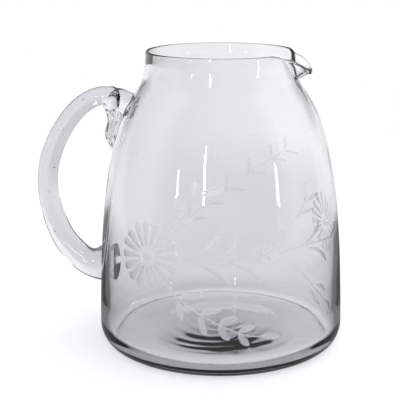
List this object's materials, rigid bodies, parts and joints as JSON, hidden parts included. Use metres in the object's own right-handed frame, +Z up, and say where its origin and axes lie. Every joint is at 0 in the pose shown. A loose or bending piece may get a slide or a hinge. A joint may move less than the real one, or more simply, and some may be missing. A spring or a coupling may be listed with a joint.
{
  "type": "cocktail pitcher",
  "caption": "Hand-blown clear glass pitcher, wide and straight below, drawn in to a short collar, with a pulled pouring lip and a looped rod handle.",
  "frame": {"origin": "centre of the foot, on the plane that the pitcher stands on, under the vessel's axis", "axes": "+Z up along the vessel's axis, +X towards the pouring lip, -X towards the handle, +Y completes the right-handed frame"},
  "size_m": [0.2089, 0.16, 0.19],
  "materials": {
    "vessel_glass": "clear, fire-polished, very faint smoky violet tint, with fine matt wheel cuts",
    "handle_glass": "clear, fire-polished, with a few seeds and drawn lines"
  },
  "bodies": {
    "root": {"body": "vessel_glass", "handle": "handle_glass", "handle_tail": "handle_glass"}
  },
  "joints": []
}
